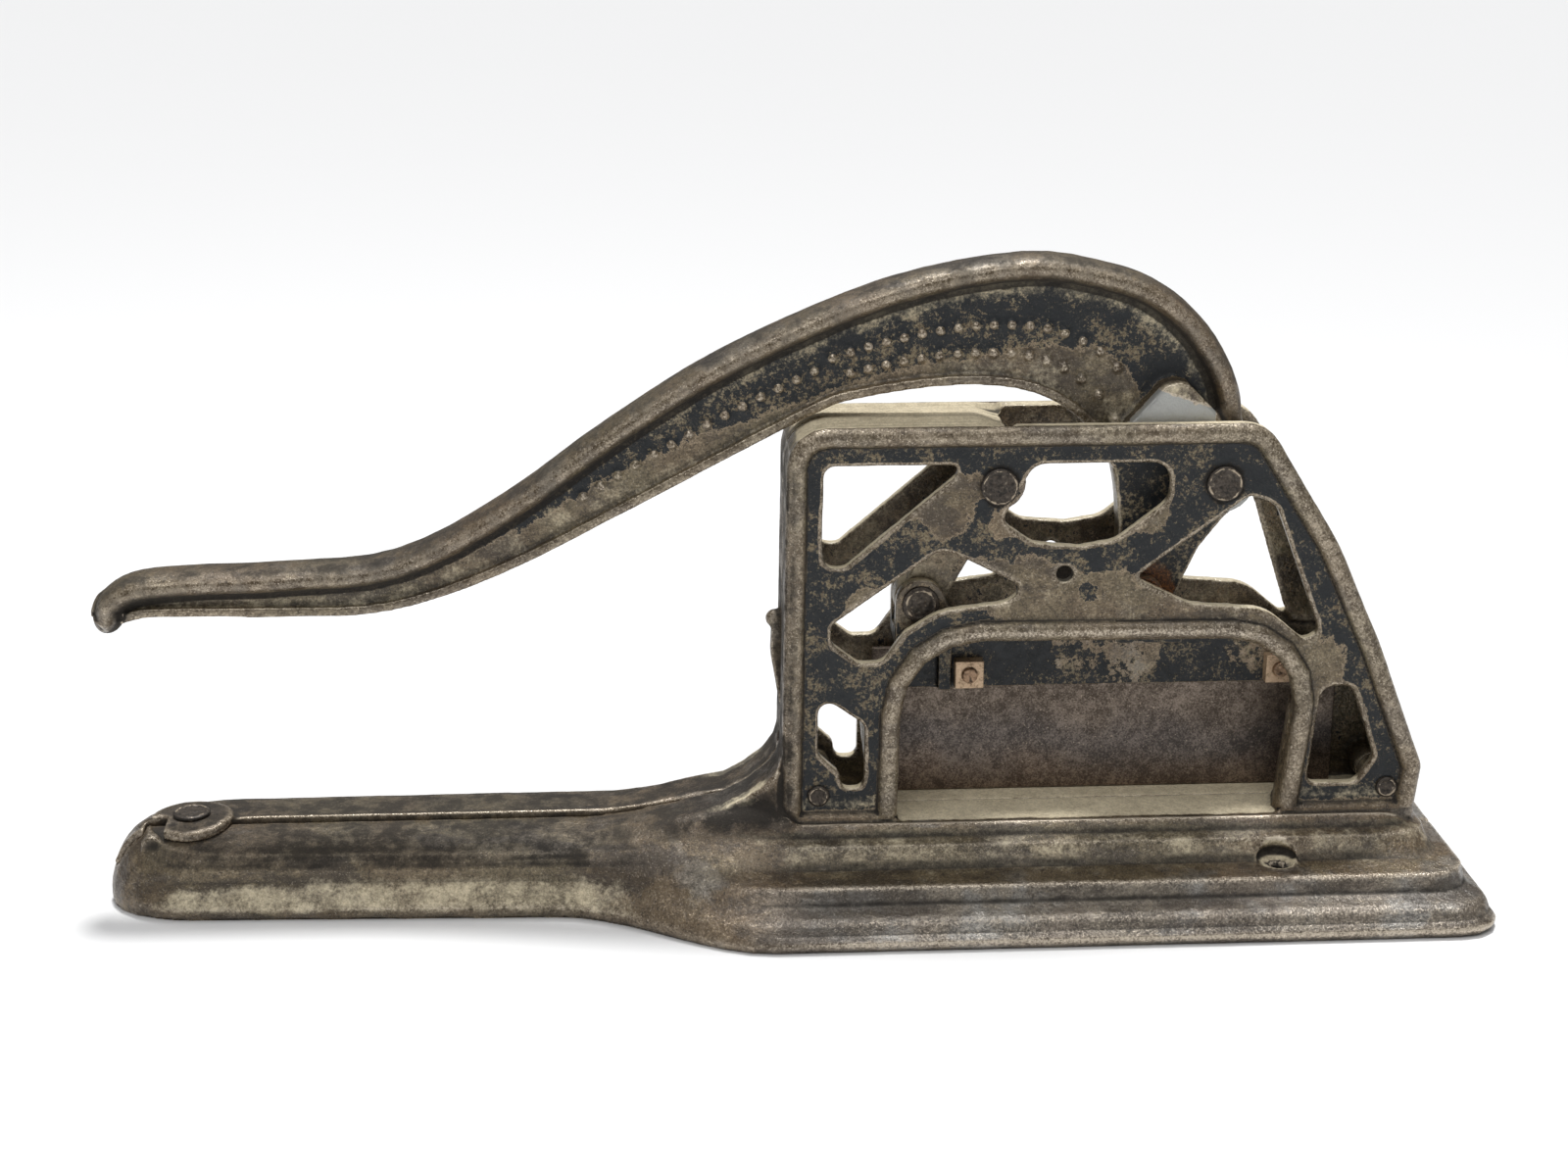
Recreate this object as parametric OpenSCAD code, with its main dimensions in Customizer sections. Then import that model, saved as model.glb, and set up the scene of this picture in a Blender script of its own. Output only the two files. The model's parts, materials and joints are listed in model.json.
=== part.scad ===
// Countertop plug cutter: a cast-iron guillotine worked by a long curved lever.
// Two side castings, each with half of the base, half of the tail and one openwork
// side plate, meet on the plane Y = 0. The lever and a short link hang from two pins
// through both plates and carry the blade between them, so the blade stays level.
// The origin is at the centre of the underside. X runs along the tail, Z is up.

/* [Base] */
// Length of the base with its tail
base_len = 446; // [440:1:460]
// Half width of the base beside the cutting throat
base_half = 58; // [56:0.5:60]
// Height of the bed that the plug lies on
bed_z = 27.5; // [27:0.5:28]

/* [Side plates] */
// Distance from the centre plane to the outer face of a side plate
plate_out = 16.5; // [16.5:0.25:17]
// Distance from the centre plane to the inner face of a side plate
plate_in = 12.5; // [12.5:0.1:13]
// How far the beads stand out from a side plate
bead_h = 2; // [1:0.25:2.5]
// Width of the bead round the rim and round the throat
bead_w = 6.5; // [5:0.5:7]

/* [Linkage] */
// Height of the two fixed pins
pin_z = 139; // [138:0.5:140]
// Distance along X of the link's fixed pin
link_x = 64; // [63:0.5:65]
// Distance along X of the lever's fixed pin
lever_x = 135; // [134:0.5:136]
// Radius of the four linkage pins
pin_r = 4; // [3.5:0.25:4.5]
// Running clearance of a pin in its moving eye
run_fit = 0.05; // [0.02:0.01:0.1]

/* [Blade] */
// Thickness of the blade
blade_t = 2; // [1.5:0.25:2.25]
// Gap under the cutting edge when the lever is down
blade_gap = 0.4; // [0.3:0.1:1]

/* [Hidden] */

iron_bare = "#6e6050";
iron_painted = "#33373a";
steel = "#57493f";
copper_brown = "#8a6c54";

$fn = 48;
big = 400;

// The lower end of the link and of the lever's arm, from the pin above it
arm_dx = -23.3;
arm_dz = -40.5;
link_pin_at = [link_x, pin_z];
lever_pin_at = [lever_x, pin_z];
link_eye_at = link_pin_at + [arm_dx, arm_dz];
lever_eye_at = lever_pin_at + [arm_dx, arm_dz];
eye_r = 8;
arm_half = 4.5;
hub_half = plate_in - 0.5;
ear_in = arm_half + 0.5;
ear_out = ear_in + 4;

// ---- outlines ---------------------------------------------------------------

function unit(v) = v / norm(v);
function at(p, i) = p[(i + len(p)) % len(p)];
function xy(p) = [p.x, p.y];

// Arc of radius r that rounds the corner b between a and c
function corner(a, b, c, r, n) =
    let (u = unit(a - b), v = unit(c - b), half = acos(u * v) / 2)
    let (mid = b + unit(u + v) * r / sin(half))
    let (p = b + u * r / tan(half) - mid, q = b + v * r / tan(half) - mid)
    let (start = atan2(p.y, p.x), turn = (atan2(q.y, q.x) - start + 540) % 360 - 180)
    [for (i = [0:n]) mid + r * [cos(start + turn * i / n), sin(start + turn * i / n)]];

// Closed outline from corners [x, z, radius]
function rounded(pts, n = 4) = [for (i = [0:len(pts) - 1])
    let (b = pts[i])
    each b.z == 0 ? [xy(b)] : corner(xy(at(pts, i - 1)), xy(b), xy(at(pts, i + 1)), b.z, n)];

// The same corners moved to the left of the direction of travel by d
function inset(pts, d) = [for (i = [0:len(pts) - 1])
    let (a = xy(at(pts, i - 1)), b = xy(pts[i]), c = xy(at(pts, i + 1)))
    let (u = unit(b - a), v = unit(c - b), side = [-u.y, u.x], bend = cross(u, v))
    let (way = unit(side + [-v.y, v.x]), moved = b + way * d / (way * side))
    [moved.x, moved.y, pts[i].z == 0 ? 0 : max(0.5, pts[i].z - sign(bend) * d)]];

// Smooth curve through hand-set points, with n steps between two of them
function curve(p, n) = [for (i = [0:len(p) - 2]) for (j = [0:n - 1])
    let (t = j / n, a = p[max(i - 1, 0)], b = p[i], c = p[i + 1], d = p[min(i + 2, len(p) - 1)])
    b + 0.5 * t * (c - a + t * (2 * a - 5 * b + 4 * c - d + t * (3 * b - a - 3 * c + d)))];

// The curve moved to the right of the direction of travel by d
function beside(p, d) = [for (i = [0:len(p) - 1])
    let (u = unit(p[min(i + 1, len(p) - 1)] - p[max(i - 1, 0)]))
    p[i] + d * [u.y, -u.x]];

function reverse(p) = [for (i = [len(p) - 1:-1:0]) p[i]];

// Slab of an XZ outline between two distances from the centre plane
module slab(pts, y0, y1) {
    translate([0, y1, 0]) rotate([90, 0, 0]) linear_extrude(y1 - y0) polygon(pts);
}

// Round bar along Y between two distances from the centre plane
module bar(p, r, y0, y1) {
    translate([p.x, y1, p.y]) rotate([90, 0, 0]) cylinder(r = r, h = y1 - y0);
}

// Side plate seen from the front, as corners [x, z, radius]
plate = [[-4.5, 24, 0], [203, 24, 0], [205, 43, 6], [188.5, 84.5, 60],
    [172.5, 119, 60], [147.5, 158.5, 13], [-2.5, 158.5, 13]];
throat = [[33, 20, 0], [157, 20, 0], [161.5, 62, 20], [161.5, 87.5, 22], [34.5, 88.5, 25]];
windows = [
    [[9, 146, 3.5], [8.5, 113, 4], [15.5, 113, 4], [54.5, 146, 2]],
    [[75, 146, 6], [65, 127.5, 3], [75, 120.5, 8], [90, 119, 12], [101.5, 121, 8],
        [118, 134, 6], [118, 146, 6]],
    [[11.5, 94, 3], [11.5, 88, 3], [20, 81.5, 3], [28, 81.5, 4], [35, 91.5, 8],
        [46.5, 98.5, 20], [67, 101, 4], [73.5, 105.5, 2.5], [46.5, 119, 7]],
    [[7.5, 71, 3.5], [7.5, 50.5, 3], [14.5, 44, 3], [15, 38.5, 3], [22.5, 38.5, 3],
        [22.5, 60.5, 3]],
    [[108, 108.5, 1.5], [126, 99.5, 12], [150.5, 97.5, 15], [163, 87, 2], [169, 88.5, 3],
        [152, 132, 7], [143.5, 135, 4]],
    [[170.5, 70.5, 4], [169, 55, 5], [167.5, 37.5, 2], [183.5, 37, 3], [189.5, 46, 3],
        [180.5, 70.5, 3]]];
wall_t = 4.5;
walls_apart = 198.5;
bead_step = 1.2;
slot_x = 67;
slot_low_z = 127;
lower_rivets = [[7.7, 36.5], [194, 35.5]];
lower_rivet_r = 2.5;
lower_boss_r = 5.5;
oil_hole = [85.5, 110];
oil_hole_r = 2.6;

// ---- base -------------------------------------------------------------------

// Half section of the base and of the tail, from the underside up, as [y, z]
base_rise = [[base_half - 1, 0], [base_half, 2.5], [base_half - 1.5, 5.5], [54, 8],
    [51, 9.3], [48, 10.5], [45.5, 12.8], [42.5, 15.6], [38, 17.2], [33, 18.6],
    [28.5, 21.5], [24, 25.3], [21, bed_z]];
tail_rise = [[26.5, 0], [27.5, 2.5], [27.3, 5], [26.5, 7.5], [25.5, 9.5], [24.8, 11.5],
    [24.3, 14], [24, 16.5], [23.6, 19], [22.8, 21.6], [21, 23.5], [17, 24.2], [8, 24.4]];
tail_top = 24.4;
tail_taper = 0.85;
rear_lift = 1.07;
rear_taper = 0.97;
nose_run = 30;
nose_drop = 18;
end_round = 13;
end_back = 0.55;
blend_from = -78;
blend_to = -8;

// Places along the base as [part, share]: 0 the nose, 1 between, 2 the right end
nose_flat = 8;
stops = concat([for (a = [nose_flat, 22, 36, 50, 64, 78, 90]) [0, a]],
    [for (t = [0:9]) [1, t / 9]],
    [for (a = [0, 25, 50, 75]) [2, a]]);

function ease(t) = let (s = min(max(t, 0), 1)) s * s * (3 - 2 * s);
function mix(a, b, t) = a + (b - a) * t;

// Point of the skin at one place and one height, on the side with Y = way. The tail's
// heights are multiplied by lift, and its width narrows to the share taper at the nose.
function skin(stop, k, way, lift, taper) =
    let (dome = max(tail_rise[k].y - 3, 0) / (tail_top - 2))
    let (left = -base_len / 2 + nose_drop * (1 - sqrt(1 - dome * dome)))
    let (right = base_len / 2 - end_back * (base_half - base_rise[k].x))
    let (x = stop[0] == 0 ? left + nose_run * (cos(nose_flat) - cos(stop[1]))
        : stop[0] == 1 ? mix(blend_from, blend_to, stop[1])
        : right - end_round * (1 - sin(stop[1])))
    let (s = ease((x - blend_from) / (blend_to - blend_from)))
    let (narrow = mix(taper, 1, ease((x + 200) / 110)))
    let (full = mix(tail_rise[k].x * narrow, base_rise[k].x, s))
    let (w = stop[0] == 0 ? full * sin(stop[1])
        : stop[0] == 2 ? full - end_round * (1 - cos(stop[1])) : full)
    [x, way * w, mix(tail_rise[k].y * lift, base_rise[k].y, s)];

module base_block(lift, taper) {
    places = len(stops);
    ring = 2 * places;
    levels = len(base_rise);
    points = [for (k = [0:levels - 1]) each concat(
        [for (i = [0:places - 1]) skin(stops[i], k, -1, lift, taper)],
        [for (i = [places - 1:-1:0]) skin(stops[i], k, 1, lift, taper)])];
    sides = [for (k = [0:levels - 2]) for (i = [0:ring - 1])
        let (a = k * ring + i, b = k * ring + (i + 1) % ring)
        each [[a, b + ring, b], [a, a + ring, b + ring]]];
    last = (levels - 1) * ring;
    top = [for (i = [0:places - 2])
        let (a = last + i, b = last + i + 1, c = last + ring - 2 - i, d = last + ring - 1 - i)
        each [[a, c, b], [a, d, c]]];
    bottom = [for (i = [0:places - 2])
        let (a = i, b = i + 1, c = ring - 2 - i, d = ring - 1 - i)
        each [[a, b, c], [a, c, d]]];
    polyhedron(points, concat(sides, top, bottom));
}

// Hollow under one half of the base, on the side with Y = way
module hollow(way) {
    for (h = [[2, 208, 44, 7], [2, 200, 24, 20]])
        translate([h[0], way > 0 ? 6 : -h[2], -1]) cube([h[1] - h[0], h[2] - 6, h[3] + 1]);
    translate([-196, way > 0 ? 6 : -16, -1]) cube([140, 10, 18]);
}

// Sweep from the tail's top up the left end of the frame
module tail_sweep() {
    reach = 38;
    rise = 21;
    arc = [for (a = [0:15:90]) [-4 - reach * (1 - sin(a)), tail_top + rise * (1 - cos(a))]];
    intersection() {
        slab(concat([[-4, 12], [-4 - reach, 12]], arc), -big, big);
        linear_extrude(60) polygon([[-50, -13], [-30, -15], [-4, -18], [-4, 18], [-30, 15],
            [-50, 13]]);
    }
}

// ---- castings ---------------------------------------------------------------

// Countersunk hole for a wood screw, mirrored behind the frame
screw_hole = [155, 33];
screw_hole_r = 2.6;
screw_head_r = 5.8;
sink_z = 14.5;
sink_h = 3.2;

tail_rivet_at = [-196, 0];
tail_rivet_r = 3;
tail_rivet_z = 17;
ear_r = 13;
ear_z = tail_top * rear_lift + 1.5;
jamb_half = 5;

// Everything that both castings share, on the side with Y = way, with its own openings
module casting(way, lift, taper, openings) {
    in = way * plate_in;
    out = way * plate_out;
    half_proud = way * (plate_out + 0.6 * bead_h);
    proud = way * (plate_out + bead_h);
    rim = rounded(plate);
    difference() {
        union() {
            intersection() {
                union() {
                    base_block(lift, taper);
                    tail_sweep();
                }
                translate([-big, way > 0 ? 0 : -big, -1]) cube([2 * big, big, 200]);
            }
            // Flat of the side plate
            slab(rim, min(in, out), max(in, out));
            // Bead round the rim, in two steps
            difference() {
                slab(rim, min(out, half_proud), max(out, half_proud));
                slab(rounded(inset(plate, bead_w)), -big, big);
            }
            difference() {
                slab(rounded(inset(plate, bead_step)), min(half_proud, proud), max(half_proud, proud));
                slab(rounded(inset(plate, bead_w - bead_step)), -big, big);
            }
            // Bead round the throat, in two steps
            slab(rounded(inset(throat, -bead_w)), min(out, half_proud), max(out, half_proud));
            slab(rounded(inset(throat, bead_step - bead_w)), min(half_proud, proud),
                max(half_proud, proud));
            // End walls and top wall, open where the lever swings
            difference() {
                slab(rim, min(0, in), max(0, in));
                slab(rounded(inset(plate, wall_t)), -big, big);
                translate([0, -big, bed_z]) cube([walls_apart, 2 * big, 5]);
                translate([slot_x, -big, slot_low_z]) cube([big, 2 * big, big]);
            }
            for (p = lower_rivets) bar(p, lower_boss_r, min(0, in), max(0, in));
        }
        for (w = openings) slab(rounded(w), -big, big);
        intersection() {
            slab(rounded(throat), -big, big);
            translate([0, -big, bed_z]) cube([big, 2 * big, big]);
        }
        for (p = [link_pin_at, lever_pin_at]) bar(p, pin_r, -big, big);
        for (p = lower_rivets) bar(p, lower_rivet_r, -big, big);
        bar(oil_hole, oil_hole_r, -big, big);
        hollow(way);
        translate([screw_hole.x, way * screw_hole.y, -1]) {
            cylinder(r = screw_hole_r, h = 40);
            translate([0, 0, sink_z + 1]) cylinder(r1 = screw_hole_r, r2 = screw_head_r, h = sink_h);
            translate([0, 0, sink_z + sink_h + 1]) cylinder(r = screw_head_r, h = 20);
        }
        tail_rivet_bore();
    }
}

module tail_rivet_bore() {
    translate([tail_rivet_at.x, tail_rivet_at.y, -1]) cylinder(r = tail_rivet_r, h = 40);
}

// Wall that closes one side of the throat, leaning outward behind the front plate
module jamb(foot, lean) {
    hull() for (h = [[-plate_in - 1, 0], [jamb_half - 0.5, lean]])
        translate([h[1], 0, 0])
            slab([[foot, bed_z - 1], [foot + 3.5, bed_z - 1], [foot + 7, 61], [foot + 3.5, 61]],
                h[0], h[0] + 0.5);
}

// Finger of the front casting between the ear and the tab
finger = [[-210.5, 12], [-204, 12], [-204, 24.5], [-206, 26], [-208.5, 26], [-210.5, 24]];

module front_casting() {
    color(iron_painted) difference() {
        union() {
            casting(-1, 1, tail_taper, windows);
            jamb(157.2, 5);
            mirror([1, 0, 0]) jamb(-32.9, 4);
            slab(finger, -12, -1);
        }
        tail_tab(0.5);
        translate([tail_rivet_at.x, tail_rivet_at.y, tail_top])
            cylinder(r = ear_r + 0.5, h = 10);
        // The jambs stand on the rear half of the bed without cutting into it
        translate([-big, 0, -1]) cube([2 * big, big, bed_z + 1]);
    }
}

// Round ear over the tail rivet, cut away beside the front casting's finger
module tail_ear() {
    difference() {
        translate([tail_rivet_at.x, tail_rivet_at.y, tail_top])
            cylinder(r = ear_r, h = ear_z - tail_top);
        slab(rounded([[-215, 10, 0], [-203.5, 10, 0], [-203.5, 40, 0], [-215, 40, 0]]), -20, -0.5);
    }
}

// Pointed tab that droops over the nose, grown by gap towards the front
module tail_tab(gap) {
    slab([[-221.5, 13], [-211, 13], [-211, 25.5], [-214.5, 23.5], [-218.5, 19]], -5 - gap, 2);
}

module rear_casting() {
    color(iron_painted) difference() {
        union() {
            // The last window, low on the right, opens only the front plate
            casting(1, rear_lift, rear_taper, [for (i = [0:len(windows) - 2]) windows[i]]);
            tail_ear();
            tail_tab(0);
            // Thicker stretch of the right rail, clear of the blade
            slab([[148, 134], [152, 125], [163.5, 90], [167, 84], [178, 84], [160, 134]],
                plate_in - 1.7, plate_in);
            // Cast lugs on the left end wall
            for (z = [45, 91]) translate([-5.5, 2.5, z]) sphere(r = 3);
            slab([[-4, 62], [-4, 90], [-6.5, 88], [-7, 80]], 0, 5);
        }
        tail_rivet_bore();
    }
}

// ---- rivets and pins --------------------------------------------------------

// Pin with a riveted head at each end, against faces at the distance inner from the middle
module cross_pin(p, r, head_r, head_h, inner = plate_out) {
    out = inner + head_h;
    bar(p, r, -out, out);
    for (y = [-out, inner]) bar(p, head_r, y, y + head_h);
}

module tail_rivet() {
    head_h = 1.2;
    color(iron_bare) translate([tail_rivet_at.x, tail_rivet_at.y, tail_rivet_z]) {
        cylinder(r = tail_rivet_r, h = ear_z - tail_rivet_z + head_h);
        translate([0, 0, ear_z - tail_rivet_z]) cylinder(r = 2 * tail_rivet_r, h = head_h);
    }
}

module lower_left_rivet() { color(iron_bare) cross_pin(lower_rivets[0], lower_rivet_r, 3.6, 0.8); }
module lower_right_rivet() { color(iron_bare) cross_pin(lower_rivets[1], lower_rivet_r, 3.6, 0.8); }
module lever_pin() { color(iron_bare) cross_pin(lever_pin_at, pin_r, 5.8, 1); }
module link_pin() { color(iron_bare) cross_pin(link_pin_at, pin_r, 6, 1); }
module lever_carrier_pin() { color(iron_bare) cross_pin(lever_eye_at, pin_r, 6, 0.8, ear_out); }
module link_carrier_pin() { color(iron_bare) cross_pin(link_eye_at, pin_r, 6, 0.8, ear_out); }

// ---- lever ------------------------------------------------------------------

lever_top = curve([[-221, 97], [-218.5, 104], [-209.5, 109.8], [-192, 111.8], [-160, 112.7],
    [-126, 116.2], [-93, 133], [-57, 158.5], [-20, 181], [29, 201.5], [72, 209.5], [100, 205.5],
    [116, 199], [128, 189], [137, 176], [141.5, 164], [142, 153], [145.4, 139]], 4);
lever_low = curve([[-219.5, 91.5], [-210, 95.7], [-199, 97], [-160, 96.5], [-128, 97.8],
    [-92, 109.6], [-46, 132.8], [4, 158.8], [21, 165], [52, 168.8], [76, 166], [93, 155],
    [103.5, 138]], 4);
flange_h = 8;
flange_half = 9;
lip_h = 3;
lip_half = 5;
web_half = 3;
hub_r = 11;

module lever() {
    flange_low = beside(lever_top, flange_h);
    lip_top = beside(lever_low, -lip_h);
    color(iron_bare) difference() {
        union() {
            slab(concat(lever_low, [[104, 130], [144.6, 130]], reverse(lever_top)),
                -web_half, web_half);
            slab(concat(flange_low, reverse(lever_top)), -flange_half, flange_half);
            slab(concat(lever_low, reverse(lip_top)), -lip_half, lip_half);
            // Arm down to the blade carrier
            slab([[102, 150], [104.5, 122], [104.9, 99], [111, 93], [117, 91.8],
                [121, 95.2], [123.6, 98.8], [126.7, 106], [130.5, 114.5], [138.5, 125],
                [147, 132], [147, 148]], -arm_half, arm_half);
            bar(lever_eye_at, eye_r, -arm_half, arm_half);
            bar(lever_pin_at, hub_r, -hub_half, hub_half);
            // Worn pad between hub and flange
            slab([[108, 146], [104.5, 156.5], [116, 169.5], [120, 170.5], [123.5, 169.5],
                [129, 164], [133, 160], [140, 147]], -hub_half, hub_half);
        }
        bar(lever_pin_at, pin_r + run_fit, -big, big);
        bar(lever_eye_at, pin_r + run_fit, -big, big);
    }
}

// ---- link and blade ---------------------------------------------------------

link_half = 7;
link_boss_r = 9;
// Clearance of the link's lower eye, which carries no load
open_fit = 0.3;

module swing_link() {
    side = link_half * [-arm_dz, arm_dx] / norm([arm_dx, arm_dz]);
    color(iron_painted) difference() {
        union() {
            slab([link_pin_at - side, link_eye_at - side, link_eye_at + side,
                link_pin_at + side], -arm_half, arm_half);
            bar(link_eye_at, eye_r, -arm_half, arm_half);
            bar(link_pin_at, link_boss_r, -hub_half, hub_half);
        }
        bar(link_pin_at, pin_r + run_fit, -big, big);
        bar(link_eye_at, pin_r + open_fit, -big, big);
    }
}

carrier_low = 66;
carrier_high = 88;
carrier_front = 3;
carrier_back = 8;
block_low = 84;
block_high = 89;
blade_screws = [[58, 71.5], [160.5, 71.5]];
screw_r = 2.5;
nut_half = 4.7;
nut_front = -1.5;

// Forked ears over one eye, on their block
module ears(p, splay) {
    for (y = [-ear_out, ear_in]) {
        bar(p, eye_r, y, y + ear_out - ear_in);
        slab([[p.x - eye_r, block_low], [p.x + eye_r + splay, block_low], [p.x + 7, p.y + 2],
            [p.x - eye_r, p.y]], y, y + ear_out - ear_in);
    }
    translate([p.x - eye_r, -ear_out, block_low])
        cube([2 * eye_r + splay, 2 * ear_out, block_high - block_low]);
}

module blade_carrier() {
    color(iron_painted) difference() {
        union() {
            slab([[38, carrier_low], [166, carrier_low], [166, 80], [158, carrier_high],
                [38, carrier_high]], carrier_front, carrier_back);
            ears(link_eye_at, 8);
            ears(lever_eye_at, 6);
            // Rib beside the left nut
            slab([[48, carrier_low], [52, carrier_low], [52, 84], [48, 84]], 0, carrier_front);
        }
        for (p = [link_eye_at, lever_eye_at]) bar(p, pin_r, -big, big);
        for (p = blade_screws) bar(p, screw_r, -big, big);
    }
}

module blade() {
    back = carrier_back + blade_t;
    edge = bed_z + blade_gap;
    bevel_angle = 14;
    bevel_h = 6;
    color(steel) difference() {
        slab([[27, edge], [182, edge], [182, 74], [178, 78], [27, 78]], carrier_back, back);
        // Bevel of the cutting edge, ground on the rear face
        translate([0, back, edge]) rotate([-bevel_angle, 0, 0])
            translate([-big, 0, -10]) cube([2 * big, 5, 10 + bevel_h]);
        for (p = blade_screws) bar(p, screw_r, -big, big);
    }
}

// Blade screw: round head behind the blade, shank through to its square nut
module blade_screw(p) {
    back = carrier_back + blade_t;
    bar(p, screw_r, nut_front - 1.1, back);
    bar(p, 4.5, back, back + 1.6);
}

module square_nut(p) {
    color(copper_brown) difference() {
        slab([for (c = [[-1, -1], [1, -1], [1, 1], [-1, 1]]) p + nut_half * c], nut_front,
            carrier_front);
        bar(p, screw_r, -big, big);
    }
}

module left_blade_screw() { color(steel) blade_screw(blade_screws[0]); }
module right_blade_screw() { color(steel) blade_screw(blade_screws[1]); }
module left_square_nut() { square_nut(blade_screws[0]); }
module right_square_nut() { square_nut(blade_screws[1]); }

front_casting();
rear_casting();
tail_rivet();
lower_left_rivet();
lower_right_rivet();
lever_pin();
link_pin();
lever();
swing_link();
blade_carrier();
blade();
lever_carrier_pin();
link_carrier_pin();
left_blade_screw();
right_blade_screw();
left_square_nut();
right_square_nut();
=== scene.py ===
import json
import math
from types import SimpleNamespace

import bmesh
import bpy
import numpy as np
from mathutils import Matrix, Vector, noise
from mathutils.bvhtree import BVHTree

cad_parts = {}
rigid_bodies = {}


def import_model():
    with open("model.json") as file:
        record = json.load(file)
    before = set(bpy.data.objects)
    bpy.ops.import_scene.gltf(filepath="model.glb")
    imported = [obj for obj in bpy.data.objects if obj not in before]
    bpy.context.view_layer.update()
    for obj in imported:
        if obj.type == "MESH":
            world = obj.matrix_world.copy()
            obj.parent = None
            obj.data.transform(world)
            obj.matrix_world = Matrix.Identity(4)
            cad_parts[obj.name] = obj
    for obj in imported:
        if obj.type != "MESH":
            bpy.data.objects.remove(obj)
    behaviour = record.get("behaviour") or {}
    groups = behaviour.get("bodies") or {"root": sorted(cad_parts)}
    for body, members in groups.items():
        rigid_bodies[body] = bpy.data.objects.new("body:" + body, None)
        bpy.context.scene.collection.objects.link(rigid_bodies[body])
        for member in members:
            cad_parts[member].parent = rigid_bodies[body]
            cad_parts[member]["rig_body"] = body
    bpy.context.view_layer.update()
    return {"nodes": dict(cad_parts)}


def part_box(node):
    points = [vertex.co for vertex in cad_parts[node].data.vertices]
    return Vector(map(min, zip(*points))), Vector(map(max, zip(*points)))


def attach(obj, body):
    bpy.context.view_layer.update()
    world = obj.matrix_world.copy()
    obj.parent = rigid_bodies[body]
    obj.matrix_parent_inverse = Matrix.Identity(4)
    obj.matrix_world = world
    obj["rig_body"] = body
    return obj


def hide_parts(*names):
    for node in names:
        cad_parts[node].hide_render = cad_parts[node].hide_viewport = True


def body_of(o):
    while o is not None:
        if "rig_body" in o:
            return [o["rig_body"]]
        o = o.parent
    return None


# A cast-iron countertop plug cutter, with its throat's front towards -Y and its tail towards -X.
# Meshes and the frame's boxes are in metres. The sizes given below are in millimetres.
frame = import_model()

MM = 0.001
NODES = frame["nodes"]
SCENE = bpy.context.scene
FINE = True


# ---- places taken from the frame ---------------------------------------------------

def middle(node):
    """Middle of a CAD node, in metres."""
    low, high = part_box(node)
    return (low + high) / 2


# Middles of pins and holes, in metres
LEVER_PIN = middle("lever_pin")
LINK_PIN = middle("link_pin")
LEVER_EYE = middle("lever_carrier_pin")
OIL_HOLE = LINK_PIN + Vector((21.5, 0, -29)) * MM
SCREW_HOLE = LEVER_PIN + Vector((20, 33, 0)) * MM

# Heights and distances, in millimetres
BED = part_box("blade")[0].z / MM - 0.4          # top of the bed, just under the blade's edge
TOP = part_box("front_casting")[1].z / MM        # top of the frame
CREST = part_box("lever")[1].z / MM              # highest place of the lever
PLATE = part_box("lever_pin")[1].y / MM - 1      # outer face of the side plates, from the middle
SLOT = LINK_PIN.x / MM + 3                     # where the lever's slot in the roof begins
REAR_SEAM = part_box("tail_rivet")[1].z / MM - 2.7  # rear half's top along the tail's seam
PLATE_FOOT = 20.6                              # where the plates stand on the base


# ---- numbers per point -------------------------------------------------------------

def ramp(x, low, high):
    """0 at low, 1 at high, and smooth between them."""
    t = np.clip((x - low) / (high - low), 0, 1)
    return t * t * (3 - 2 * t)


def fade(x, low, high):
    """1 at low, 0 at high, and smooth between them."""
    return 1 - ramp(x, low, high)


def near(x, place, low, high):
    """1 within low of a place, 0 beyond high."""
    return fade(np.abs(x - place), low, high)


def ridge(x, place, width):
    """Bell curve, 1 at its place."""
    return np.exp(-((x - place) / width) ** 2)


def profile(outline, x):
    """Height of an outline, given as (place, height) points, at each x."""
    return np.interp(x, *zip(*outline))


def cloud(co, size, seed):
    """Smooth noise between about -1 and 1 at each point, with lumps about size wide."""
    shift = Vector((seed * 7.31, seed * 3.17, seed * 5.77))
    return np.array([noise.fractal(Vector(p) / (size * MM) + shift, 0.8, 2.0, 2) for p in co])


def around(co, centre, low, high):
    """1 within low of a cross pin's axis, 0 beyond high."""
    away = np.hypot(co[:, 0] - centre.x, co[:, 2] - centre.z) / MM
    return fade(away, low, high)


# ---- meshes as arrays --------------------------------------------------------------

def points_of(mesh):
    co = np.empty(len(mesh.vertices) * 3)
    mesh.vertices.foreach_get("co", co)
    return co.reshape(-1, 3)


def move_points(mesh, co):
    mesh.vertices.foreach_set("co", co.ravel())
    mesh.update()


def in_mm(co):
    """X, distance from the middle plane and Z of each point, in millimetres, and which points
    are on the front half."""
    x, y, z = (co / MM).T
    return x, np.abs(y), z, y < 0


def normals_of(mesh):
    normals = np.empty(len(mesh.vertices) * 3)
    mesh.vertex_normals.foreach_get("vector", normals)
    return normals.reshape(-1, 3)


def mark(mesh, name, values):
    """Keeps one number per point for the materials to read."""
    attribute = mesh.attributes.get(name) or mesh.attributes.new(name, "FLOAT", "POINT")
    attribute.data.foreach_set("value", np.asarray(values, np.float32))


def mixed(places, shares):
    """Sum of the named places, each times its share."""
    return sum(share * places[name] for name, share in shares.items())


def linked(name, mesh):
    obj = bpy.data.objects.new(name, mesh)
    SCENE.collection.objects.link(obj)
    return obj


def mesh_from(name, bm):
    mesh = bpy.data.meshes.new(name)
    bm.to_mesh(mesh)
    bm.free()
    return mesh


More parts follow.
